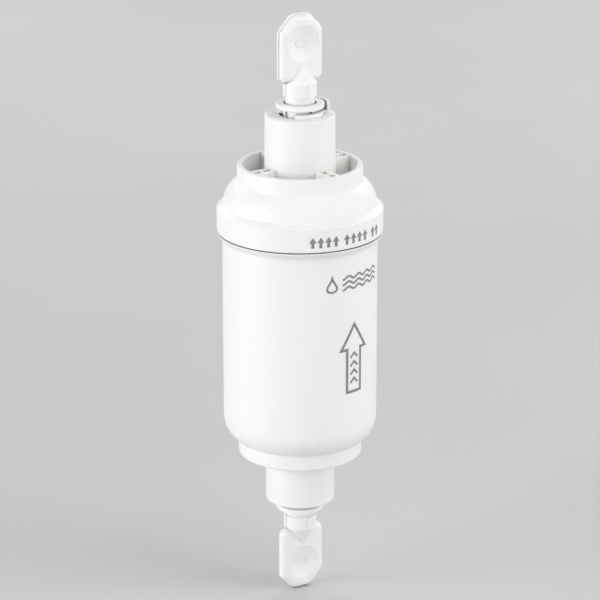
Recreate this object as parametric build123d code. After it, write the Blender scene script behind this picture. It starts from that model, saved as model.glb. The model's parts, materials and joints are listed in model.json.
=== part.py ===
from build123d import *
import os
from math import cos, radians, sin

# Inline water filter for a caravan's cold water line: a spin-welded plastic housing round a
# carbon block, with a push-fit port for 3/8 inch tube at each end and a shipping plug in each.
# Millimetres. +Z is the filter's long axis, upright as it is fitted, with water flowing up.
# The origin is on that axis, half way along the straight cylindrical body.
# Port pieces are drawn in a port frame: z = 0 on the neck's end face, +z out of the port.

# ---- housing ----
BODY_R = 25.4
BODY_HALF = 30.0
WALL = 2.6
BORE_R = BODY_R - WALL
COLLAR_R = 27.2
NECK_R = 11.6
NECK_TIP_R = 11.43
NECK_EDGE = 0.4
LOWER_NECK_EDGE = 0.15
TOP_FACE_Z = BODY_HALF + 42.95
BOTTOM_FACE_Z = -BODY_HALF - 30.23

# ---- spin-weld joint between the two shells ----
SEAM_Z = BODY_HALF + 3.86
SEAM_GAP = 0.46
SEAM_DEPTH = 0.9
TONGUE_R = 24.9
TONGUE_TOP_Z = SEAM_Z + 5.84
FLANGE_LOW_Z = SEAM_Z - 0.26
RAMP_MID_R = 26.2
RAMP_MID_Z = BODY_HALF + 2.4
RAMP_FOOT_R = 25.45
RAMP_FOOT_Z = BODY_HALF + 1.0
RAMP_BOW = 0.14

# ---- dome, rim and well of the upper shell ----
COLLAR_TOP_Z = BODY_HALF + 11.7
DOME_FOOT_R = 25.2
DOME_FOOT_Z = COLLAR_TOP_Z + 1.55
DOME_HEAD_R = 21.2
DOME_HEAD_Z = DOME_FOOT_Z + 7.4
DOME_BOW = 0.95
RIM_FOOT_R = 20.6
RIM_FOOT_Z = DOME_HEAD_Z + 1.0
RIM_FOOT_BOW = 0.18
RIM_R = 20.4
RIM_IN_R = 18.7
RIM_TOP_Z = RIM_FOOT_Z + 4.61
RIM_EDGE = 0.35
WELL_FLOOR_Z = RIM_TOP_Z - 8.96
CEILING_Z = WELL_FLOOR_Z - 3.0
CEILING_BOW = 1.2
SOCKET_R = 7.0
SOCKET_TOP_Z = CEILING_Z + 8.0

# ---- foot of the lower shell ----
FOOT_R = 20.5
FOOT_Z = -BODY_HALF - 13.33
FOOT_EDGE = 0.8
FOOT_BEND_R = 9.28
FOOT_BEND = 52
FOOT_RECESS = 3.0
FLOOR_Z = FOOT_Z + FOOT_RECESS + 2.93
FLOOR_R = 17.2
FLOOR_BOW = 1.6

# ---- double-wall ribs in the well and under the foot ----
RIB_COUNT = 4
RIB_WIDTH = 4.7
RIB_WALL = 1.2
RIB_CROSS_R = 15.3
RIB_CROSS = 1.0
RIB_SINK = 0.15
POCKET_DEPTH = 6.0

# ---- push-fit port for 3/8 inch tube ----
TUBE_R = 9.525 / 2
TUBE_PLAY = 0.0875
SEAL_PLAY = 0.0375
TUBE_BORE_R = TUBE_R + TUBE_PLAY
GRIP_R = TUBE_R + SEAL_PLAY
WATERWAY_R = 3.2
PORT_DEPTH = 18.2
SEAL_BORE_R = 7.2
SEAL_RING_R = (SEAL_BORE_R - GRIP_R) / 2
SEAL_MID_R = (SEAL_BORE_R + GRIP_R) / 2
SEAL_FLOOR_Z = -13.2
SPACER = 0.9
BUSHING_R = 8.2
BUSHING_LENGTH = 6.2
MOUTH_R = 6.86
MOUTH_DEPTH = 1.3
LIP_R = 5.75
LIP_Z = -3.1
TAPER_R = 6.75
TAPER_Z = -5.6

# ---- collet ----
COLLET_FACE_Z = 3.8
COLLET_FLANGE = 1.52
COLLET_FLANGE_R = 7.9
COLLET_EDGE = 0.25
COLLET_R = 5.54
COLLET_MOUTH_R = 5.42
COLLET_MOUTH_DEPTH = 1.25
COLLET_TIP_Z = -7.5
LOBE_R = 6.45
LOBE_START_Z = -3.4
LOBE_Z = -5.75
LOBE_END_Z = -6.9
SLOT_COUNT = 4
SLOT_WIDTH = 1.5
SLOT_TOP_Z = 2.1
TOOTH_ROOT_R = 5.9
TOOTH_ROOT_Z = -5.15
TOOTH_DROP = 0.8
TOOTH_THICK = 0.35
TOOTH_SPAN = 52

# ---- locking clip under the collet's flange ----
CLIP_THICK = 1.17
CLIP_R = 7.5
CLIP_IN_R = 5.65
CLIP_MOUTH = 40
EAR_R = 9.67
EAR_THICK = 1.1
EAR_TOP_Z = 3.85
EAR_HALF = 42
TOP_CLIP_TURN = 0
BOTTOM_CLIP_TURN = 53

# ---- shipping plug, with heights measured from the collet's face ----
PLUG_TURN = -5
PLUG_END_Z = -17.8
PLUG_LEAD = 0.8
PLUG_CORE_TOP = 3.0
PLUG_COLLAR_R = 5.44
PLUG_COLLAR_FOOT = 2.4
PLUG_COLLAR_TOP = 6.8
PLUG_CHAMFER = 0.15
PLUG_CONE_FOOT = 7.7
PLUG_CONE_TOP = 16.45
FIN_COUNT = 4
FIN_R = 5.68
FIN_WIDTH = 0.8
PADDLE_HALF = 8.28
PADDLE_THICK = 4.2
PADDLE_EDGE = 1.95
PARTING_STEP = 0.45
PADDLE_LOW = 6.85
PADDLE_LOW_R = 2.5
PADDLE_SHOULDER = 23.9
PADDLE_SHOULDER_R = 2.5
PADDLE_CROWN = (3.3, 29.3)
PADDLE_CROWN_R = 4.0
DISH_R = 6.0
DISH_DEPTH = 1.2
DISH_MID = 19.7
MARK_SIZE = (4.6, 2.4)
MARK_WIDTH = 0.45
MARK_HEIGHT = 0.3

# ---- filter cartridge inside ----
BLOCK_LOW_Z = FLOOR_Z + 9.4
BLOCK_TOP_Z = CEILING_Z - 6.3
BLOCK_R = 19.8
CORE_R = 6.2
CORE_IN_R = 5.0
CORE_HOLE_R = 1.5
CORE_HOLE_PITCH = 7.0
CORE_HOLES_ROUND = 4
WRAP_R = 20.7
NET_R = 21.25
SOFT_GAP = 0.05
CAP_R = 22.1
CAP_DISC = 2.5
CAP_LIP = 3.0
SPIGOT_R = 6.6
SPIGOT_TOP_Z = SOCKET_TOP_Z - 1.0
SPIGOT_RING_R = 1.0
SPIGOT_RING_ZS = (SPIGOT_TOP_Z - 4.6, SPIGOT_TOP_Z - 1.8)
LEG_COUNT = 4
LEG_R = 14.0
LEG_WIDTH = 2.0

QUARTER_BOW = 1 - 0.5**0.5


def outline(*steps):
    """Closed face through (x, y) points; a third value bows the stretch to that point."""
    edges = []
    start = steps[-1][:2]
    for x, y, *bow in steps:
        end = (x, y)
        edges.append(SagittaArc(start, end, bow[0]) if bow else Line(start, end))
        start = end
    return make_face(edges)


def turned(*steps, sweep=360):
    """Solid turned about Z from (radius, height) steps, as outline() takes them."""
    return revolve(Plane.XZ * outline(*steps), Axis.Z, sweep)


def ring(inner, outer, low, high):
    """Plain tube about Z."""
    return turned((inner, low), (outer, low), (outer, high), (inner, high))


def block(low_x, high_x, width, low_z, high_z):
    """Box from low_x to high_x, centred on Y."""
    size = Box(high_x - low_x, width, high_z - low_z, align=(Align.MIN, Align.CENTER, Align.MIN))
    return Pos(low_x, 0, low_z) * size


def around(shape, count, start=0):
    """Copies of a shape at even steps about Z."""
    return [Rot(0, 0, start + 360 * i / count) * shape for i in range(count)]


def torus(mid_r, section_r, z):
    """O-ring about Z."""
    return Pos(0, 0, z) * Torus(mid_r, section_r)


def rib_walls(low_z, high_z):
    """Double-wall ribs between neck and rim, before their pockets are cut."""
    return around(block(NECK_TIP_R - 0.5, RIM_IN_R + 0.5, RIB_WIDTH, low_z, high_z), RIB_COUNT)


def rib_pockets(low_z, high_z):
    """Two pockets in each rib, one each side of its cross wall."""
    width = RIB_WIDTH - 2 * RIB_WALL
    inner = block(NECK_R + 0.1, RIB_CROSS_R - RIB_CROSS / 2, width, low_z, high_z)
    outer = block(RIB_CROSS_R + RIB_CROSS / 2, RIM_IN_R, width, low_z, high_z)
    return around(inner, RIB_COUNT) + around(outer, RIB_COUNT)


def port_wall(face_z, out):
    """Outline steps down a port, from its face inwards; out is +1 at the top port, -1 below."""
    bushing_z = face_z - out * BUSHING_LENGTH
    seal_z = face_z + out * SEAL_FLOOR_Z
    stop_z = face_z - out * PORT_DEPTH
    return [
        (BUSHING_R, face_z),
        (BUSHING_R, bushing_z),
        (SEAL_BORE_R, bushing_z),
        (SEAL_BORE_R, seal_z),
        (TUBE_BORE_R, seal_z),
        (TUBE_BORE_R, stop_z),
        (WATERWAY_R, stop_z),
    ]


def lower_housing():
    """Cup: body, rounded foot and lower neck, with the spin-weld tongue round its mouth."""
    weld_z = SEAM_Z + SEAM_GAP
    step_r = COLLAR_R - SEAM_DEPTH
    bend_r = BODY_R - FOOT_BEND_R * (1 - cos(radians(FOOT_BEND)))
    bend_z = -BODY_HALF - FOOT_BEND_R * sin(radians(FOOT_BEND))
    bend_bow = FOOT_BEND_R * (1 - cos(radians(FOOT_BEND / 2)))
    neck_corner = BOTTOM_FACE_Z + LOWER_NECK_EDGE
    shell = turned(
        (BORE_R, TONGUE_TOP_Z),
        (TONGUE_R, TONGUE_TOP_Z),
        (TONGUE_R, weld_z),
        (step_r, weld_z),
        (step_r, SEAM_Z),
        (COLLAR_R, SEAM_Z),
        (COLLAR_R, FLANGE_LOW_Z),
        (RAMP_MID_R, RAMP_MID_Z, RAMP_BOW),
        (RAMP_FOOT_R, RAMP_FOOT_Z, -RAMP_BOW),
        (BODY_R, BODY_HALF),
        (BODY_R, -BODY_HALF),
        (bend_r, bend_z, bend_bow),
        (FOOT_R, bend_z),
        (FOOT_R, FOOT_Z + FOOT_EDGE),
        (FOOT_R - FOOT_EDGE, FOOT_Z, FOOT_EDGE * QUARTER_BOW),
        (NECK_R, FOOT_Z),
        (NECK_TIP_R, neck_corner),
        (NECK_TIP_R - LOWER_NECK_EDGE, BOTTOM_FACE_Z, LOWER_NECK_EDGE * QUARTER_BOW),
        *port_wall(BOTTOM_FACE_Z, -1),
        (WATERWAY_R, FLOOR_Z),
        (FLOOR_R, FLOOR_Z),
        (BORE_R, -BODY_HALF, -FLOOR_BOW),
    )
    recess_top = FOOT_Z + FOOT_RECESS
    shell -= ring(NECK_R, RIM_IN_R, FOOT_Z - 1, recess_top)
    shell += rib_walls(FOOT_Z + RIB_SINK, recess_top)
    shell -= rib_pockets(FOOT_Z, recess_top)
    return shell


def upper_housing():
    """Cap: collar, dome, rim and upper neck, with ribs across the well round the neck."""
    weld_z = SEAM_Z + SEAM_GAP
    neck_corner = TOP_FACE_Z - NECK_EDGE
    shell = turned(
        (TONGUE_R, weld_z),
        (COLLAR_R, weld_z),
        (COLLAR_R, COLLAR_TOP_Z),
        (DOME_FOOT_R, DOME_FOOT_Z),
        (DOME_HEAD_R, DOME_HEAD_Z, -DOME_BOW),
        (RIM_FOOT_R, RIM_FOOT_Z, RIM_FOOT_BOW),
        (RIM_R, RIM_TOP_Z - RIM_EDGE),
        (RIM_R - RIM_EDGE, RIM_TOP_Z, -RIM_EDGE * QUARTER_BOW),
        (RIM_IN_R, RIM_TOP_Z),
        (RIM_IN_R, WELL_FLOOR_Z),
        (NECK_R, WELL_FLOOR_Z),
        (NECK_TIP_R, neck_corner),
        (NECK_TIP_R - NECK_EDGE, TOP_FACE_Z, -NECK_EDGE * QUARTER_BOW),
        *port_wall(TOP_FACE_Z, 1),
        (WATERWAY_R, SOCKET_TOP_Z),
        (SOCKET_R, SOCKET_TOP_Z),
        (SOCKET_R, CEILING_Z),
        (RIM_IN_R, CEILING_Z),
        (BORE_R, TONGUE_TOP_Z, CEILING_BOW),
        (TONGUE_R, TONGUE_TOP_Z),
    )
    rib_top = RIM_TOP_Z - RIB_SINK
    shell += rib_walls(WELL_FLOOR_Z, rib_top)
    shell -= rib_pockets(rib_top - POCKET_DEPTH, RIM_TOP_Z)
    return shell


def port_bushing():
    """Ring pressed into the neck; its taper squeezes the collet's legs on to the tube."""
    return turned(
        (MOUTH_R, 0),
        (BUSHING_R, 0),
        (BUSHING_R, -BUSHING_LENGTH),
        (TAPER_R, -BUSHING_LENGTH),
        (TAPER_R, TAPER_Z),
        (LIP_R, LIP_Z),
        (LIP_R, -MOUTH_DEPTH),
        (MOUTH_R, -MOUTH_DEPTH),
    )


def seal_spacer():
    """Washer that keeps the collet's legs off the O-ring."""
    top_z = SEAL_FLOOR_Z + 2 * SEAL_RING_R + SPACER
    return ring(TUBE_BORE_R, SEAL_BORE_R, top_z - SPACER, top_z)


def tube_o_ring():
    """O-ring that seals on the tube."""
    return torus(SEAL_MID_R, SEAL_RING_R, SEAL_FLOOR_Z + SEAL_RING_R)


def collet_teeth():
    """Steel gripping teeth, one curved blade moulded into each collet leg."""
    blade = turned(
        (GRIP_R, TOOTH_ROOT_Z - TOOTH_DROP - TOOTH_THICK),
        (TOOTH_ROOT_R, TOOTH_ROOT_Z - TOOTH_THICK),
        (TOOTH_ROOT_R, TOOTH_ROOT_Z),
        (GRIP_R, TOOTH_ROOT_Z - TOOTH_DROP),
        sweep=TOOTH_SPAN,
    )
    first = 180 / SLOT_COUNT - TOOTH_SPAN / 2
    return Compound(children=around(blade, SLOT_COUNT, first))


def collet():
    """Push-fit collet: flange, split shaft and four lobed legs that carry the teeth."""
    flange_z = COLLET_FACE_Z - COLLET_FLANGE
    edge = COLLET_FLANGE_R - COLLET_EDGE
    shape = turned(
        (COLLET_MOUTH_R, COLLET_FACE_Z),
        (edge, COLLET_FACE_Z),
        (COLLET_FLANGE_R, COLLET_FACE_Z - COLLET_EDGE, COLLET_EDGE * QUARTER_BOW),
        (COLLET_FLANGE_R, flange_z + COLLET_EDGE),
        (edge, flange_z, COLLET_EDGE * QUARTER_BOW),
        (COLLET_R, flange_z),
        (COLLET_R, LOBE_START_Z),
        (LOBE_R, LOBE_Z),
        (LOBE_R, LOBE_END_Z),
        (COLLET_R, COLLET_TIP_Z),
        (TUBE_BORE_R, COLLET_TIP_Z),
        (TUBE_BORE_R, COLLET_FACE_Z - COLLET_MOUTH_DEPTH),
    )
    shape -= around(block(1, LOBE_R + 1, SLOT_WIDTH, COLLET_TIP_Z - 1, SLOT_TOP_Z), SLOT_COUNT)
    return shape - collet_teeth()


def locking_clip():
    """C-shaped clip that stops the collet being pressed, with a curved finger ear."""
    mouth = 2 * CLIP_MOUTH
    band = Rot(0, 0, CLIP_MOUTH - 180) * turned(
        (CLIP_IN_R, 0),
        (CLIP_R, 0),
        (CLIP_R, CLIP_THICK),
        (CLIP_IN_R, CLIP_THICK),
        sweep=360 - mouth,
    )
    ear_in = EAR_R - EAR_THICK
    ear = Rot(0, 0, -EAR_HALF) * turned(
        (CLIP_R - 0.5, 0),
        (EAR_R, 0),
        (EAR_R, EAR_TOP_Z),
        (ear_in, EAR_TOP_Z),
        (ear_in, CLIP_THICK),
        (CLIP_R - 0.5, CLIP_THICK),
        sweep=2 * EAR_HALF,
    )
    clip = band + ear
    tall = [e for e in clip.edges().filter_by(Axis.Z) if e.length > EAR_TOP_Z / 2]
    return fillet(tall, EAR_THICK * 0.4)


def paddle():
    """Thick rounded handle of the plug, in two moulded halves with a thumb dish in each."""
    base = COLLET_FACE_Z
    low = base + PADDLE_LOW
    shoulder = base + PADDLE_SHOULDER
    crown_x, crown_z = PADDLE_CROWN
    sides = [
        ((PADDLE_HALF, low), PADDLE_LOW_R),
        ((PADDLE_HALF, shoulder), PADDLE_SHOULDER_R),
        ((crown_x, base + crown_z), PADDLE_CROWN_R),
        ((-crown_x, base + crown_z), PADDLE_CROWN_R),
        ((-PADDLE_HALF, shoulder), PADDLE_SHOULDER_R),
        ((-PADDLE_HALF, low), PADDLE_LOW_R),
    ]
    face = outline(*[corner for corner, _ in sides])
    for corner, radius in sides:
        face = fillet(face.vertices().sort_by_distance((*corner, 0))[0], radius)
    small_face = offset(face, -PARTING_STEP)
    ball_r = (DISH_R**2 + DISH_DEPTH**2) / (2 * DISH_DEPTH)
    reach = PADDLE_THICK / 2 - DISH_DEPTH + ball_r
    halves = []
    for half_face, side in ((small_face, -1), (face, 1)):
        half = extrude(Plane.XZ * half_face, -side * PADDLE_THICK / 2)
        outer = half.faces().sort_by(Axis.Y)[-1 if side > 0 else 0]
        half = fillet(outer.edges(), PADDLE_EDGE)
        halves.append(half - Pos(0, side * reach, base + DISH_MID) * Sphere(ball_r))
    return halves[0] + halves[1]


def thumb_marks():
    """A small raised loop in each thumb dish."""
    length, height = MARK_SIZE
    rim = 2 * MARK_WIDTH
    loop = SlotOverall(length, height) - SlotOverall(length - rim, height - rim)
    depth = PADDLE_THICK / 2 - DISH_DEPTH + MARK_HEIGHT
    return Pos(0, 0, COLLET_FACE_Z + DISH_MID) * extrude(Plane.XZ * loop, depth, both=True)


def plug():
    """Shipping plug: hollow tube-sized stem, finned collar with a pointed root, and a paddle."""
    base = COLLET_FACE_Z
    core = base + PLUG_CORE_TOP
    foot = base + PLUG_COLLAR_FOOT
    top = base + PLUG_COLLAR_TOP
    stem = turned(
        (WATERWAY_R, PLUG_END_Z),
        (TUBE_R - PLUG_LEAD / 2, PLUG_END_Z),
        (TUBE_R, PLUG_END_Z + PLUG_LEAD),
        (TUBE_R, foot - PLUG_CHAMFER),
        (PLUG_COLLAR_R, foot),
        (PLUG_COLLAR_R, top),
        (TUBE_R, base + PLUG_CONE_FOOT),
        (0, base + PLUG_CONE_TOP),
        (0, core),
        (WATERWAY_R, core),
    )
    fins = around(block(TUBE_R - 0.5, FIN_R, FIN_WIDTH, foot, top), FIN_COUNT)
    return stem + fins + paddle() + thumb_marks()


def carbon_block():
    """Extruded carbon cylinder that does the filtering."""
    return ring(CORE_R, BLOCK_R, BLOCK_LOW_Z, BLOCK_TOP_Z)


def core_tube():
    """Perforated tube down the middle of the block, which leads clean water up."""
    tube = ring(CORE_IN_R, CORE_R, BLOCK_LOW_Z, BLOCK_TOP_Z)
    rows = int((BLOCK_TOP_Z - BLOCK_LOW_Z) / CORE_HOLE_PITCH)
    drill = Pos(CORE_R, 0, 0) * Rot(0, 90, 0) * Cylinder(CORE_HOLE_R, CORE_R)
    for row in range(rows):
        z = BLOCK_LOW_Z + (row + 1) * CORE_HOLE_PITCH - CORE_HOLE_PITCH / 4
        turn = 180 / CORE_HOLES_ROUND * (row % 2)
        tube -= [Pos(0, 0, z) * hole for hole in around(drill, CORE_HOLES_ROUND, turn)]
    return tube


def prefilter_wrap():
    """Felt sleeve round the carbon block that stops silt."""
    return ring(BLOCK_R + SOFT_GAP, WRAP_R, BLOCK_LOW_Z + SOFT_GAP, BLOCK_TOP_Z - SOFT_GAP)


def outer_netting():
    """Thin plastic net sleeve that holds the felt on."""
    return ring(WRAP_R + SOFT_GAP, NET_R, BLOCK_LOW_Z + SOFT_GAP, BLOCK_TOP_Z - SOFT_GAP)


def top_end_cap():
    """Glued cap with a lip round the block and a grooved spigot up into the upper shell."""
    disc_top = BLOCK_TOP_Z + CAP_DISC
    cap = turned(
        (CORE_IN_R, BLOCK_TOP_Z),
        (NET_R, BLOCK_TOP_Z),
        (NET_R, BLOCK_TOP_Z - CAP_LIP),
        (CAP_R, BLOCK_TOP_Z - CAP_LIP),
        (CAP_R, disc_top),
        (SPIGOT_R + 1, disc_top),
        (SPIGOT_R, disc_top + 1, QUARTER_BOW),
        (SPIGOT_R, SPIGOT_TOP_Z),
        (WATERWAY_R, SPIGOT_TOP_Z),
        (WATERWAY_R, disc_top),
    )
    groove_r = SOCKET_R - 2 * SPIGOT_RING_R
    for z in SPIGOT_RING_ZS:
        cap -= ring(groove_r, SPIGOT_R + 1, z - SPIGOT_RING_R, z + SPIGOT_RING_R)
    return cap


def spigot_o_rings():
    """Two O-rings that seal the spigot in the upper shell's socket."""
    mid_r = SOCKET_R - SPIGOT_RING_R
    return Compound(children=[torus(mid_r, SPIGOT_RING_R, z) for z in SPIGOT_RING_ZS])


def bottom_end_cap():
    """Blind cap with a lip round the block and legs that stand on the housing's floor."""
    disc_low = BLOCK_LOW_Z - CAP_DISC
    cap = turned(
        (0, disc_low),
        (CAP_R, disc_low),
        (CAP_R, BLOCK_LOW_Z + CAP_LIP),
        (NET_R, BLOCK_LOW_Z + CAP_LIP),
        (NET_R, BLOCK_LOW_Z),
        (0, BLOCK_LOW_Z),
    )
    leg = block(WATERWAY_R + 1, LEG_R, LEG_WIDTH, FLOOR_Z, disc_low + 0.5)
    return cap + around(leg, LEG_COUNT, 180 / LEG_COUNT)


def at_top(shape, turn=0):
    """Place a port piece in the upper neck, turned about the axis."""
    return Pos(0, 0, TOP_FACE_Z) * Rot(0, 0, turn) * shape


def at_bottom(shape, turn=0):
    """Place a port piece in the lower neck, turned about the axis."""
    return Pos(0, 0, BOTTOM_FACE_Z) * Rot(0, 0, turn) * Rot(180, 0, 0) * shape


nodes = {
    "lower_housing": lower_housing(),
    "upper_housing": upper_housing(),
    "top_port_bushing": at_top(port_bushing()),
    "bottom_port_bushing": at_bottom(port_bushing()),
    "top_seal_spacer": at_top(seal_spacer()),
    "bottom_seal_spacer": at_bottom(seal_spacer()),
    "top_tube_o_ring": at_top(tube_o_ring()),
    "bottom_tube_o_ring": at_bottom(tube_o_ring()),
    "top_collet": at_top(collet()),
    "bottom_collet": at_bottom(collet()),
    "top_collet_teeth": at_top(collet_teeth()),
    "bottom_collet_teeth": at_bottom(collet_teeth()),
    "top_locking_clip": at_top(locking_clip(), TOP_CLIP_TURN),
    "bottom_locking_clip": at_bottom(locking_clip(), BOTTOM_CLIP_TURN),
    "top_plug": at_top(plug(), PLUG_TURN),
    "bottom_plug": at_bottom(plug(), PLUG_TURN),
    "carbon_block": carbon_block(),
    "core_tube": core_tube(),
    "prefilter_wrap": prefilter_wrap(),
    "outer_netting": outer_netting(),
    "top_end_cap": top_end_cap(),
    "bottom_end_cap": bottom_end_cap(),
    "spigot_o_rings": spigot_o_rings(),
}

os.makedirs("parts", exist_ok=True)
for name, shape in nodes.items():
    export_step(shape, f"parts/{name}.step")
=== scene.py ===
import json
from math import cos, degrees, pi, radians, sin, tau

import bpy
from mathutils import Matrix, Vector, noise


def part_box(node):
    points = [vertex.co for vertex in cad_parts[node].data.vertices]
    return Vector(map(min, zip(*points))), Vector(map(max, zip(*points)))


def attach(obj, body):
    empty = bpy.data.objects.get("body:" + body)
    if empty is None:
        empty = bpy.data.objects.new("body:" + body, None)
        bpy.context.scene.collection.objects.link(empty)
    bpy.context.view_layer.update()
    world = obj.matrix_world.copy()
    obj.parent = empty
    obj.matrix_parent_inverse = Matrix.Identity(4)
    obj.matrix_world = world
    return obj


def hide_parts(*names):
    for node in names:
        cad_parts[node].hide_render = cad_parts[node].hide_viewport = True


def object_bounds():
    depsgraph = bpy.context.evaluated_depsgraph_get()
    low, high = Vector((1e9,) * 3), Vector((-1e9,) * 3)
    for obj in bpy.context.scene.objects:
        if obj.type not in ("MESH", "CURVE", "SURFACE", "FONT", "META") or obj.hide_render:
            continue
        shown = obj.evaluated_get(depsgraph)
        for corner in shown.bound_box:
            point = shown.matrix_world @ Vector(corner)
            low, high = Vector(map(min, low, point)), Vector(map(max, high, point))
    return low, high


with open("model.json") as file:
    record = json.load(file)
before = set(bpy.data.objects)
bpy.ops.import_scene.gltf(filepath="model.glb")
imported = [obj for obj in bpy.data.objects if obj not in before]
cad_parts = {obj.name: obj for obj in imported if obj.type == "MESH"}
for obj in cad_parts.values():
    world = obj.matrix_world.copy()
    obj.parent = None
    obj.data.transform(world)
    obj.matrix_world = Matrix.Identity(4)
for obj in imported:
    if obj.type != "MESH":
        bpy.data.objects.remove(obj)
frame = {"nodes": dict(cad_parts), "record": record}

# The looks of a white inline water filter, in metres and degrees, in the CAD frame:
# +Z is up the filter's axis. A mark's or a paddle's azimuth is measured from +X towards +Y, and a
# camera's or a light's is the one that away() explains.

MM = 0.001
CAD_LOW, CAD_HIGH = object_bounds()
MOUNTS = {mount["name"]: mount for mount in frame["record"]["mounts"]}
BODY_R = MOUNTS["body_band"]["dims"]["r_mm"] * MM
COLLAR_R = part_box("upper_housing")[1].x
# The azimuth square to both plugs' paddles.
PADDLE_FACING = -95.0


# ---------------------------------------------------------------- node helpers


def new_material(name):
    material = bpy.data.materials.new(name)
    material.use_nodes = True
    return material, material.node_tree, material.node_tree.nodes["Principled BSDF"]


def feed(tree, socket, value):
    if isinstance(value, bpy.types.NodeSocket):
        tree.links.new(value, socket)
    else:
        socket.default_value = value


def node(tree, kind, inputs=None, output=0, **settings):
    """Adds a node, feeds its inputs and returns the chosen output."""
    made = tree.nodes.new(kind)
    for key, value in settings.items():
        setattr(made, key, value)
    for key, value in (inputs or {}).items():
        feed(tree, made.inputs[key], value)
    return made.outputs[output]


def object_space(tree):
    return node(tree, "ShaderNodeTexCoord", output="Object")


def stretched(tree, place, scale):
    return node(tree, "ShaderNodeMapping", {"Vector": place, "Scale": scale})


def cloud(tree, place, size, detail=3.0, distortion=0.0):
    """Soft noise from 0 to 1 whose blotches are about `size` metres across."""
    inputs = {"Vector": place, "Scale": 1.0 / size, "Detail": detail, "Distortion": distortion}
    return node(tree, "ShaderNodeTexNoise", inputs)


def remap(tree, value, low, high, to_low, to_high):
    inputs = {
        "Value": value,
        "From Min": low,
        "From Max": high,
        "To Min": to_low,
        "To Max": to_high,
    }
    return node(tree, "ShaderNodeMapRange", inputs)


def blended(tree, share, first, second, how="MIX"):
    made = tree.nodes.new("ShaderNodeMix")
    made.data_type = "RGBA"
    made.blend_type = how
    feed(tree, made.inputs[0], share)
    feed(tree, made.inputs[6], first)
    feed(tree, made.inputs[7], second)
    return made.outputs[2]


def two_tone(tree, value, low, high, first, second, most=1.0):
    """The first colour where `value` is low, turning into the second where it is high."""
    return blended(tree, remap(tree, value, low, high, 0.0, most), first, second)


def maths(tree, operation, first, second=0.0):
    """One sum on values. An operation with one input makes no use of `second`."""
    made = tree.nodes.new("ShaderNodeMath")
    made.operation = operation
    feed(tree, made.inputs[0], first)
    feed(tree, made.inputs[1], second)
    return made.outputs[0]


def bumped(tree, height, depth, strength=1.0, under=None):
    inputs = {"Height": height, "Distance": depth, "Strength": strength}
    if under is not None:
        inputs["Normal"] = under
    return node(tree, "ShaderNodeBump", inputs)


def rounded_edges(tree, radius):
    return node(tree, "ShaderNodeBevel", {"Radius": radius}, samples=4)


def edge_mask(tree, radius):
    """1 where an edge is within `radius`, 0 on open faces."""
    soft = rounded_edges(tree, radius)
    true = node(tree, "ShaderNodeNewGeometry", output="Normal")
    same = node(
        tree, "ShaderNodeVectorMath", {0: soft, 1: true}, output="Value", operation="DOT_PRODUCT"
    )
    # The cosine between the softened and the true normal, on a flat face and at an edge.
    flat, sharp = 0.995, 0.80
    return remap(tree, same, flat, sharp, 0.0, 1.0)


def crevice_mask(tree, reach, shut=0.25, clear=0.85):
    """1 deep in a corner, 0 in the open. `shut` and `clear` are the open shares for 1 and 0."""
    inputs = {"Distance": reach}
    open_share = node(tree, "ShaderNodeAmbientOcclusion", inputs, output="AO", samples=6)
    return remap(tree, open_share, shut, clear, 1.0, 0.0)


def parting_line(tree, place, facing, width):
    """1 on the mould's parting line: the upright plane through the axis, square to `facing`."""
    across = (cos(radians(facing)), sin(radians(facing)), 0.0)
    inputs = {0: place, 1: across}
    off = node(tree, "ShaderNodeVectorMath", inputs, output="Value", operation="DOT_PRODUCT")
    return remap(tree, maths(tree, "ABSOLUTE", off), width * 0.3, width * 0.5, 1.0, 0.0)


def colour(red, green, blue):
    return (red, green, blue, 1.0)


def toned(tint, red, green, blue):
    """A tint with each channel scaled, and none past 1."""
    return colour(*[min(1.0, channel * scale) for channel, scale in zip(tint, (red, green, blue))])


# ---------------------------------------------------------------- materials


def plastic_colour(tree, place, tint, edges):
    """Flow lines from the mould, dust and painted shade in the corners, painted shade in the slits,
    and rubbed edges with a painted highlight.
    """
    upright = stretched(tree, place, (1.0, 1.0, 0.25))
    flow_lines = cloud(tree, upright, 14 * MM, detail=4.0, distortion=0.6)
    # Dust and painted shade: ambient occlusion darkens the colour in corners and recesses.
    corners = crevice_mask(tree, 2.5 * MM)
    # Painted shade: ambient occlusion turns the colour in narrow slits and gaps nearly black.
    slits = crevice_mask(tree, 1.2 * MM, 0.18, 0.52)
    warm = toned(tint, 0.985, 0.975, 0.95)
    dust_and_shade = toned(tint, 0.80, 0.79, 0.76)
    shade = toned(tint, 0.20, 0.20, 0.19)
    # Rubbed edges with a painted highlight: the colour is lightened a little at every edge.
    rubbed_and_highlit = toned(tint, 1.03, 1.03, 1.03)
    base = two_tone(tree, flow_lines, 0.35, 0.75, colour(*tint), warm, 0.7)
    base = blended(tree, maths(tree, "MULTIPLY", corners, 0.35), base, dust_and_shade)
    base = blended(tree, maths(tree, "MULTIPLY", slits, 0.95), base, shade)
    return blended(tree, maths(tree, "MULTIPLY", edges, 0.6), base, rubbed_and_highlit)


def plastic_normal(tree, place, ripple, parting):
    """Softened edges, orange-peel ripple, fine grain and, if asked for, a scribed parting line."""
    peel = cloud(tree, place, 1.9 * MM, detail=2.0)
    grain = cloud(tree, place, 0.28 * MM, detail=2.0)
    normal = rounded_edges(tree, 0.12 * MM)
    normal = bumped(tree, peel, ripple, 0.5, normal)
    normal = bumped(tree, grain, 0.004 * MM, 0.5, normal)
    if parting is not None:
        line = parting_line(tree, place, parting, 0.3 * MM)
        normal = bumped(tree, line, -0.06 * MM, 1.0, normal)
    return normal


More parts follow.
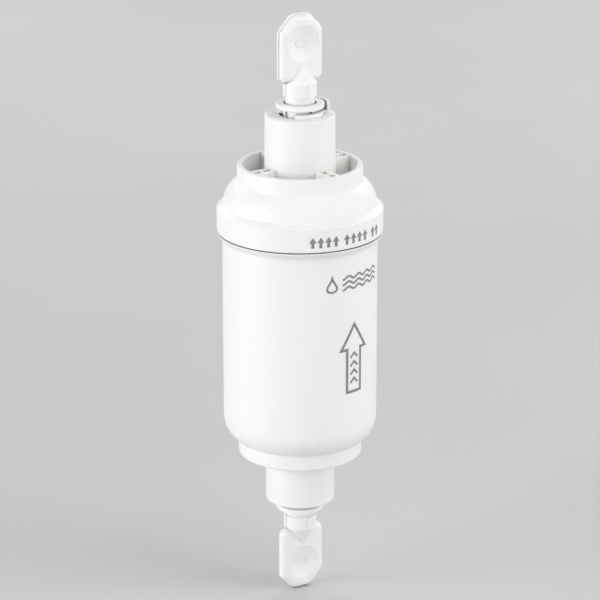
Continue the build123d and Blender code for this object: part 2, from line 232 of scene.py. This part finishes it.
def moulded_plastic(name, tint, roughness, ripple, scatter, parting=None):
    """Satin moulded plastic. `parting` is the azimuth that its parting line faces, if it has one."""
    material, tree, skin = new_material(name)
    place = object_space(tree)
    edges = edge_mask(tree, 0.35 * MM)
    haze = cloud(tree, place, 6 * MM, detail=5.0)
    dull = remap(tree, haze, 0.3, 0.7, roughness - 0.045, roughness + 0.055)
    dull = maths(tree, "SUBTRACT", dull, maths(tree, "MULTIPLY", edges, 0.06))
    feed(tree, skin.inputs["Base Color"], plastic_colour(tree, place, tint, edges))
    feed(tree, skin.inputs["Roughness"], dull)
    feed(tree, skin.inputs["Normal"], plastic_normal(tree, place, ripple, parting))
    skin.inputs["IOR"].default_value = 1.49
    skin.inputs["Subsurface Weight"].default_value = scatter
    skin.inputs["Subsurface Radius"].default_value = (1.0, 0.9, 0.8)
    skin.inputs["Subsurface Scale"].default_value = 0.9 * MM
    return material


def printed_ink():
    """Grey pad-printed ink: a mottled film with pinholes."""
    material, tree, skin = new_material("grey_ink")
    place = object_space(tree)
    mottle = cloud(tree, place, 0.9 * MM, detail=5.0)
    pinholes = node(tree, "ShaderNodeTexVoronoi", {"Vector": place, "Scale": 2200.0})
    dark, pale = colour(0.20, 0.20, 0.205), colour(0.27, 0.27, 0.27)
    inked = two_tone(tree, mottle, 0.3, 0.7, dark, pale)
    bare = remap(tree, pinholes, 0.05, 0.12, 0.5, 0.0)
    feed(tree, skin.inputs["Base Color"], blended(tree, bare, inked, colour(0.6, 0.6, 0.6)))
    feed(tree, skin.inputs["Roughness"], remap(tree, mottle, 0.3, 0.7, 0.42, 0.6))
    feed(tree, skin.inputs["Normal"], bumped(tree, mottle, 0.01 * MM, 0.6))
    return material


def rubber():
    """Black nitrile with a lubricant's uneven sheen and fine moulding grain."""
    material, tree, skin = new_material("black_rubber")
    place = object_space(tree)
    grease = cloud(tree, place, 1.5 * MM, detail=4.0)
    grain = cloud(tree, place, 0.12 * MM, detail=3.0)
    dark, pale = colour(0.018, 0.018, 0.019), colour(0.04, 0.04, 0.042)
    base = two_tone(tree, grease, 0.35, 0.7, dark, pale)
    feed(tree, skin.inputs["Base Color"], base)
    feed(tree, skin.inputs["Roughness"], remap(tree, grease, 0.35, 0.7, 0.28, 0.55))
    feed(tree, skin.inputs["Normal"], bumped(tree, grain, 0.01 * MM, 0.6))
    return material


def spring_steel():
    """Stamped stainless strip: brushed along its length, with heat-tinted blotches."""
    material, tree, skin = new_material("spring_steel")
    place = object_space(tree)
    brushing = cloud(tree, stretched(tree, place, (14.0, 14.0, 1.0)), 0.5 * MM, detail=4.0)
    tint = cloud(tree, place, 1.2 * MM)
    clean, heated = colour(0.62, 0.62, 0.63), colour(0.50, 0.47, 0.42)
    base = two_tone(tree, tint, 0.4, 0.7, clean, heated, 0.5)
    skin.inputs["Metallic"].default_value = 1.0
    feed(tree, skin.inputs["Base Color"], base)
    feed(tree, skin.inputs["Roughness"], remap(tree, brushing, 0.3, 0.7, 0.22, 0.42))
    feed(tree, skin.inputs["Normal"], bumped(tree, brushing, 0.005 * MM, 0.8))
    return material


def sintered_carbon():
    """Pressed carbon granules: dark cells of uneven grey with pits between them."""
    material, tree, skin = new_material("sintered_carbon")
    place = object_space(tree)
    granules = tree.nodes.new("ShaderNodeTexVoronoi")
    feed(tree, granules.inputs["Vector"], place)
    granules.inputs["Scale"].default_value = 1400.0
    pores = cloud(tree, place, 0.35 * MM, detail=6.0)
    shade = remap(tree, granules.outputs["Color"], 0.0, 1.0, 0.0, 1.0)
    base = blended(tree, shade, colour(0.012, 0.012, 0.013), colour(0.055, 0.055, 0.06))
    feed(tree, skin.inputs["Base Color"], base)
    feed(tree, skin.inputs["Roughness"], remap(tree, pores, 0.3, 0.7, 0.62, 0.95))
    relief = maths(tree, "MULTIPLY", granules.outputs["Distance"], -1.0)
    normal = bumped(tree, relief, 0.12 * MM, 0.8)
    feed(tree, skin.inputs["Normal"], bumped(tree, pores, 0.08 * MM, 0.7, normal))
    return material


def needled_felt():
    """White needled felt: crossing fibres, punch marks and a soft sheen."""
    material, tree, skin = new_material("needled_felt")
    place = object_space(tree)
    along = cloud(tree, stretched(tree, place, (8.0, 8.0, 1.0)), 1.0 * MM, detail=6.0, distortion=1.5)
    across = cloud(tree, stretched(tree, place, (1.0, 1.0, 9.0)), 1.0 * MM, detail=6.0, distortion=1.5)
    fibres = maths(tree, "MAXIMUM", along, across)
    dark, pale = colour(0.62, 0.62, 0.59), colour(0.86, 0.86, 0.84)
    base = two_tone(tree, fibres, 0.4, 0.75, dark, pale)
    feed(tree, skin.inputs["Base Color"], base)
    skin.inputs["Roughness"].default_value = 0.93
    skin.inputs["Sheen Weight"].default_value = 0.4
    skin.inputs["Sheen Roughness"].default_value = 0.5
    punches = node(tree, "ShaderNodeTexVoronoi", {"Vector": place, "Scale": 620.0})
    normal = bumped(tree, punches, 0.12 * MM, 0.5)
    feed(tree, skin.inputs["Normal"], bumped(tree, fibres, 0.15 * MM, 0.8, normal))
    return material


def floor_paint():
    """Pale matt studio floor. Seen from below it lets the view through."""
    material, tree, skin = new_material("studio_floor")
    place = object_space(tree)
    mottle = cloud(tree, place, 0.25, detail=4.0)
    dark, pale = colour(0.55, 0.55, 0.555), colour(0.585, 0.585, 0.585)
    base = two_tone(tree, mottle, 0.3, 0.7, dark, pale)
    feed(tree, skin.inputs["Base Color"], base)
    skin.inputs["Roughness"].default_value = 0.8
    skin.inputs["Specular IOR Level"].default_value = 0.15
    clear = node(tree, "ShaderNodeBsdfTransparent")
    behind = node(tree, "ShaderNodeNewGeometry", output="Backfacing")
    mixed = node(tree, "ShaderNodeMixShader", {0: behind, 1: skin.outputs["BSDF"], 2: clear})
    tree.links.new(mixed, tree.nodes["Material Output"].inputs["Surface"])
    return material


def dress_cad_nodes():
    """Gives every CAD node that stays its finished material, by the record's material slot."""
    finishes = {
        "housing_plastic": moulded_plastic(
            "satin_housing", (0.87, 0.87, 0.865), 0.46, 0.020 * MM, 0.12
        ),
        "fitting_plastic": moulded_plastic(
            "acetal_fitting", (0.88, 0.88, 0.875), 0.40, 0.010 * MM, 0.10
        ),
        "plug_plastic": moulded_plastic(
            "soft_plug", (0.87, 0.87, 0.865), 0.40, 0.014 * MM, 0.16, PADDLE_FACING
        ),
        "spacer_plastic": moulded_plastic(
            "dark_spacer", (0.035, 0.035, 0.038), 0.45, 0.010 * MM, 0.0
        ),
        "cap_plastic": moulded_plastic(
            "inner_cap", (0.74, 0.75, 0.76), 0.42, 0.020 * MM, 0.10
        ),
        "tooth_steel": spring_steel(),
        "seal_rubber": rubber(),
        "carbon": sintered_carbon(),
    }
    for subpart in frame["record"]["subparts"]:
        finish = finishes.get(subpart["material_slot"])
        if finish is not None:
            shown = frame["nodes"][subpart["node"]]
            shown.data.materials.clear()
            shown.data.materials.append(finish)


# ---------------------------------------------------------------- mesh helpers


def mesh_piece(name, points, faces, material, body, smooth=None):
    """A closed mesh that rides on a body. `smooth` is the angle under which edges shade smooth."""
    mesh = bpy.data.meshes.new(name)
    mesh.from_pydata(points, [], faces)
    mesh.validate()
    mesh.update()
    piece = bpy.data.objects.new(name, mesh)
    bpy.context.scene.collection.objects.link(piece)
    mesh.materials.append(material)
    if smooth is not None:
        for polygon in mesh.polygons:
            polygon.use_smooth = True
        mesh.set_sharp_from_angle(angle=radians(smooth))
    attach(piece, body)
    return piece


# A sharp corner of a stroke reaches out by its half width over this, and no further.
SHARPEST_MITRE = 0.35
STROKE_STEP = 0.5 * MM


def offsets(path, half_width, closed):
    """Left and right points of a flat path's stroke, with mitred corners."""
    count = len(path)
    left, right = [], []
    for i, here in enumerate(path):
        before = path[i - 1] if closed or i > 0 else None
        after = path[(i + 1) % count] if closed or i < count - 1 else None
        into = (here - before).normalized() if before is not None else (after - here).normalized()
        out = (after - here).normalized() if after is not None else into
        side = Vector((-into.y, into.x)) + Vector((-out.y, out.x))
        side.normalize()
        reach = half_width / max(SHARPEST_MITRE, side.dot(Vector((-into.y, into.x))))
        left.append(here + side * reach)
        right.append(here - side * reach)
    return left, right


def resampled(path, step, closed):
    """The same path with points added, so that no piece is longer than one and a half steps."""
    points = [Vector(p) for p in path]
    ends = list(zip(points, points[1:] + points[:1])) if closed else list(zip(points, points[1:]))
    made = []
    for start, end in ends:
        parts = max(1, round((end - start).length / step))
        made += [start.lerp(end, i / parts) for i in range(parts)]
    if not closed:
        made.append(points[-1])
    return made


# How far an ink film stands out of the face it is on, and how far it goes in.
FILM_RAISED = 0.035 * MM
FILM_SUNK = 0.02 * MM


def film(left, right, closed, radius, azimuth, points, faces):
    """Adds a thin raised film between two flat edges, wrapped round a cylinder."""
    first = len(points)
    low, high = radius - FILM_SUNK, radius + FILM_RAISED
    for a, b in zip(left, right):
        for r, p in ((high, a), (high, b), (low, b), (low, a)):
            angle = radians(azimuth) + p.x / radius
            points.append((r * cos(angle), r * sin(angle), p.y))
    count = len(left)
    for i in range(count if closed else count - 1):
        here = first + 4 * i
        there = first + 4 * ((i + 1) % count)
        for j in range(4):
            k = (j + 1) % 4
            faces.append((here + j, there + j, there + k, here + k))
    if not closed:
        last = first + 4 * (count - 1)
        faces.append((first, first + 1, first + 2, first + 3))
        faces.append((last + 3, last + 2, last + 1, last))


def stroke(path, width, closed, radius, azimuth, points, faces):
    """Adds a line of ink along a flat path."""
    line = resampled(path, STROKE_STEP, closed)
    left, right = offsets(line, width / 2, closed)
    film(left, right, closed, radius, azimuth, points, faces)


# ---------------------------------------------------------------- printed marks


# Each mark is drawn flat, with x along the girth from its azimuth and z up the axis.
ARROW_AZIMUTH = -83.3
ARROW_TIP = 7.5 * MM
ARROW_HEAD = -0.85 * MM
ARROW_FOOT = -15.6 * MM
ARROW_HALF_HEAD = 5.35 * MM
ARROW_HALF_SHAFT = 2.95 * MM
ARROW_LINE = 0.95 * MM
CHEVRONS = 4
CHEVRON_LOW = -12.6 * MM
CHEVRON_PITCH = 2.9 * MM
CHEVRON_HALF = 1.55 * MM
CHEVRON_RISE = 1.6 * MM
CHEVRON_LINE = 0.75 * MM

EMBLEM_AZIMUTH = -81.4
EMBLEM_FOOT = 19.75 * MM
EMBLEM_LINE = 0.7 * MM
DROP_ACROSS = 4.3 * MM
DROP_TALL = 4.7 * MM
DROP_CENTRE = -9.6 * MM
WAVES = 3
WAVE_LOW = EMBLEM_FOOT + 0.55 * MM
WAVE_PITCH = 1.8 * MM
WAVE_START = -5.8 * MM
WAVE_RUN = 17.6 * MM
WAVE_LENGTH = 4.4 * MM
WAVE_RISE = 0.5 * MM
WAVE_STEPS = 60

WAY_UP_AZIMUTH = -89.4
WAY_UP_FOOT = 35.8 * MM
WAY_UP_PITCH = 2.6 * MM
# Each group's number of arrows and where its first one stands.
WAY_UP_GROUPS = ((4, -13.75 * MM), (4, -1.95 * MM), (2, 10.2 * MM))
SMALL_SHAFT_HALF = 0.50 * MM
SMALL_HEAD_HALF = 1.20 * MM
SMALL_TIP_HALF = 0.04 * MM
SMALL_SHAFT = 1.70 * MM
SMALL_BARB = 0.01 * MM
SMALL_TALL = 3.45 * MM


def flow_arrow(ink):
    """The outlined arrow that shows which way the water goes, with chevrons up its shaft."""
    points, faces = [], []
    half = [
        (0.0, ARROW_TIP),
        (ARROW_HALF_HEAD, ARROW_HEAD),
        (ARROW_HALF_SHAFT, ARROW_HEAD),
        (ARROW_HALF_SHAFT, ARROW_FOOT),
    ]
    path = half + [(-x, z) for x, z in reversed(half[1:])]
    stroke(path, ARROW_LINE, True, BODY_R, ARROW_AZIMUTH, points, faces)
    for i in range(CHEVRONS):
        foot = CHEVRON_LOW + i * CHEVRON_PITCH
        chevron = [(-CHEVRON_HALF, foot), (0.0, foot + CHEVRON_RISE), (CHEVRON_HALF, foot)]
        stroke(chevron, CHEVRON_LINE, False, BODY_R, ARROW_AZIMUTH, points, faces)
    mesh_piece("flow_arrow_print", points, faces, ink, "housing")


def drop_outline(across, tall, centre, foot):
    """A water drop: a round belly that rises to a point."""
    steps = 28
    belly = 1.28
    taper = 2.2
    path = []
    for i in range(steps):
        turn = tau * i / steps
        half = across / 2 * belly * sin(turn / 2) ** taper
        path.append((centre + half * sin(turn), foot + tall / 2 * (1 + cos(turn))))
    return path


def water_emblem(ink):
    """A generic water mark: a drop beside three waves."""
    points, faces = [], []
    drop = drop_outline(DROP_ACROSS, DROP_TALL, DROP_CENTRE, EMBLEM_FOOT)
    stroke(drop, EMBLEM_LINE, True, BODY_R, EMBLEM_AZIMUTH, points, faces)
    for row in range(WAVES):
        middle = WAVE_LOW + row * WAVE_PITCH
        wave = []
        for i in range(WAVE_STEPS + 1):
            along = WAVE_START + WAVE_RUN * i / WAVE_STEPS
            wave.append((along, middle + WAVE_RISE * sin(along / WAVE_LENGTH * tau)))
        stroke(wave, EMBLEM_LINE, False, BODY_R, EMBLEM_AZIMUTH, points, faces)
    mesh_piece("water_emblem_print", points, faces, ink, "housing")


def small_arrow(centre, foot, points, faces):
    """One solid up arrow of the row on the collar."""
    outline = [
        (foot, SMALL_SHAFT_HALF),
        (foot + SMALL_SHAFT, SMALL_SHAFT_HALF),
        (foot + SMALL_SHAFT + SMALL_BARB, SMALL_HEAD_HALF),
        (foot + SMALL_TALL, SMALL_TIP_HALF),
    ]
    left = [Vector((centre - half, z)) for z, half in outline]
    right = [Vector((centre + half, z)) for z, half in outline]
    film(left, right, False, COLLAR_R, WAY_UP_AZIMUTH, points, faces)


def way_up_row(ink):
    """Three groups of small up arrows round the collar."""
    points, faces = [], []
    for count, start in WAY_UP_GROUPS:
        for i in range(count):
            small_arrow(start + i * WAY_UP_PITCH, WAY_UP_FOOT, points, faces)
    mesh_piece("way_up_print", points, faces, ink, "housing")


# ---------------------------------------------------------------- cartridge


FELT_ROWS = 84
FELT_STEPS = 220
# The felt's mean face is this far inside the CAD sleeve, and its bore this far off the carbon.
FELT_INSET = 0.22 * MM
FELT_GAP = 0.02 * MM
FELT_LUMP = 0.08 * MM
# The seam's lap: how far it stands up, and how many degrees it spans.
FELT_LAP = 0.072 * MM
FELT_LAP_ANGLE = 14
# How far the two ends are pinched in.
FELT_NIP = 0.22 * MM
# How closely the lumps follow each other, round the sleeve and up it.
LUMPS_ROUND = 9
LUMPS_UP = 420


def felt_radius(mean, angle, height, at_end):
    """The uneven felt's radius at one point of its outer face."""
    lump = noise.noise(Vector((cos(angle) * LUMPS_ROUND, sin(angle) * LUMPS_ROUND, height * LUMPS_UP)))
    lap = FELT_LAP if degrees(angle) < FELT_LAP_ANGLE else 0.0
    nip = FELT_NIP if at_end else 0.0
    return mean + lump * FELT_LUMP + lap - nip


def felt_wrap(felt):
    """The felt sleeve: a soft, slightly uneven roll with a lapped seam."""
    low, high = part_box("prefilter_wrap")
    mean, inner = high.x - FELT_INSET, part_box("carbon_block")[1].x + FELT_GAP
    rows, steps = FELT_ROWS, FELT_STEPS
    points, faces = [], []
    for i in range(rows + 1):
        height = low.z + (high.z - low.z) * i / rows
        for j in range(steps):
            angle = tau * j / steps
            r = felt_radius(mean, angle, height, i in (0, rows))
            points.append((r * cos(angle), r * sin(angle), height))
    for ring_height in (high.z, low.z):
        for j in range(steps):
            angle = tau * j / steps
            points.append((inner * cos(angle), inner * sin(angle), ring_height))
    rings = rows + 3
    for i in range(rings):
        here, there = i * steps, ((i + 1) % rings) * steps
        for j in range(steps):
            k = (j + 1) % steps
            faces.append((here + j, here + k, there + k, there + j))
    wrap = mesh_piece("felt_wrap", points, faces, felt, "housing", 50)
    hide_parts("prefilter_wrap")


STRANDS_EACH_WAY = 26
STRAND_R = 0.15 * MM
STRAND_SWEEP = 1.15 * pi
STRAND_STEPS = 72
STRAND_SIDES = 6
# How far in from the CAD sleeve's face each set's middle lies.
INNER_STRANDS_IN = 3.2 * STRAND_R
OUTER_STRANDS_IN = 1.5 * STRAND_R


def helix(radius, low, high, start, sweep, points, faces):
    """One round strand wound round the cartridge."""
    first = len(points)
    steps, sides = STRAND_STEPS, STRAND_SIDES
    rise = (high - low) / (abs(sweep) * radius)
    way = 1 if sweep > 0 else -1
    for i in range(steps + 1):
        angle = start + sweep * i / steps
        height = low + (high - low) * i / steps
        out = Vector((cos(angle), sin(angle), 0))
        along = Vector((-sin(angle), cos(angle), 0)) * way + Vector((0, 0, rise))
        side = out.cross(along.normalized())
        for j in range(sides):
            turn = tau * j / sides
            p = out * (radius + STRAND_R * cos(turn)) + side * (STRAND_R * sin(turn))
            points.append((p.x, p.y, p.z + height))
    for i in range(steps):
        for j in range(sides):
            k = (j + 1) % sides
            here, there = first + i * sides, first + (i + 1) * sides
            faces.append((here + j, here + k, there + k, there + j))
    faces.append(tuple(first + j for j in reversed(range(sides))))
    faces.append(tuple(first + steps * sides + j for j in range(sides)))


def net_sleeve(plastic):
    """The extruded net: two sets of strands wound opposite ways, welded where they cross."""
    low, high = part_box("outer_netting")
    points, faces = [], []
    foot, head = low.z + STRAND_R, high.z - STRAND_R
    inner, outer = high.x - INNER_STRANDS_IN, high.x - OUTER_STRANDS_IN
    for i in range(STRANDS_EACH_WAY):
        start = tau * i / STRANDS_EACH_WAY
        helix(inner, foot, head, start, STRAND_SWEEP, points, faces)
        helix(outer, foot, head, start, -STRAND_SWEEP, points, faces)
    net = mesh_piece("net_sleeve", points, faces, plastic, "housing", 60)
    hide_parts("outer_netting")


# ---------------------------------------------------------------- studio


# The view through a long lens, from above and to one side. Lens and sensor are in millimetres.
CAMERA_AZIMUTH = -37.0
CAMERA_ELEVATION = 18.83
CAMERA_DISTANCE = 0.9394
CAMERA_LENS = 171.1
CAMERA_SENSOR = 36.0
TARGET = Vector((0.0, 0.0, 9.4 * MM))

# Every softbox takes its share of one power, and stands at one distance.
KEY_WATTS = 18.0
SOFTBOX_DISTANCE = 1.5
SOFTBOXES = {
    # azimuth from the camera, elevation, side in metres, share of the key's power
    "key_softbox": (-65, 10, 1.0, 1.0),
    "front_softbox": (20, 15, 0.8, 1 / 4),
    "right_softbox": (75, 20, 1.0, 1 / 2),
    "back_right_softbox": (150, 30, 0.8, 1 / 3),
    "back_left_softbox": (-150, 30, 0.8, 1 / 3),
    "top_softbox": (60, 60, 0.8, 1 / 4),
}
ROOM_LIGHT = 0.3

FLOOR_R = 6.0
FLOOR_SIDES = 96
FLOOR_GAP = 0.05 * MM


def away(azimuth, elevation):
    """The way out to a camera or light: azimuth 0 is on the -Y side, 90 on the +X side."""
    a, e = radians(azimuth), radians(elevation)
    return Vector((sin(a) * cos(e), -cos(a) * cos(e), sin(e)))


def aim(thing, azimuth, elevation, distance):
    """Stands a camera or light off the target, facing it."""
    off = away(azimuth, elevation) * distance
    thing.location = TARGET + off
    thing.rotation_mode = "QUATERNION"
    thing.rotation_quaternion = (-off).to_track_quat("-Z", "Y")


def camera():
    data = bpy.data.cameras.new("camera")
    data.lens = CAMERA_LENS
    data.sensor_width = CAMERA_SENSOR
    data.clip_start, data.clip_end = 0.01, 20.0
    eye = bpy.data.objects.new("camera", data)
    bpy.context.scene.collection.objects.link(eye)
    aim(eye, CAMERA_AZIMUTH, CAMERA_ELEVATION, CAMERA_DISTANCE)
    bpy.context.scene.camera = eye


def softbox(name, azimuth, elevation, side, power):
    """A square soft light, placed by its azimuth from the camera."""
    data = bpy.data.lights.new(name, "AREA")
    data.shape = "SQUARE"
    data.size = side
    data.energy = power
    lamp = bpy.data.objects.new(name, data)
    bpy.context.scene.collection.objects.link(lamp)
    aim(lamp, CAMERA_AZIMUTH + azimuth, elevation, SOFTBOX_DISTANCE)


def studio():
    """Large soft lights round the filter, brightest to the camera's left, in a dim white room."""
    for name, (azimuth, elevation, side, share) in SOFTBOXES.items():
        softbox(name, azimuth, elevation, side, KEY_WATTS * share)
    world = bpy.data.worlds.new("soft_room")
    world.use_nodes = True
    sky = world.node_tree.nodes["Background"]
    sky.inputs["Color"].default_value = (1.0, 1.0, 1.0, 1.0)
    sky.inputs["Strength"].default_value = ROOM_LIGHT
    bpy.context.scene.world = world
    bpy.context.scene.view_settings.view_transform = "Standard"


def floor():
    """A wide pale disc under the lower tip."""
    height = CAD_LOW.z - FLOOR_GAP
    turns = [tau * i / FLOOR_SIDES for i in range(FLOOR_SIDES)]
    points = [(FLOOR_R * cos(turn), FLOOR_R * sin(turn), height) for turn in turns]
    mesh = bpy.data.meshes.new("floor")
    mesh.from_pydata(points, [], [tuple(range(FLOOR_SIDES))])
    mesh.materials.append(floor_paint())
    ground = bpy.data.objects.new("floor", mesh)
    bpy.context.scene.collection.objects.link(ground)


def main():
    dress_cad_nodes()
    ink = printed_ink()
    flow_arrow(ink)
    water_emblem(ink)
    way_up_row(ink)
    felt_wrap(needled_felt())
    net_sleeve(moulded_plastic("net_strand", (0.80, 0.81, 0.81), 0.35, 0.010 * MM, 0.10))
    floor()
    camera()
    studio()


main()
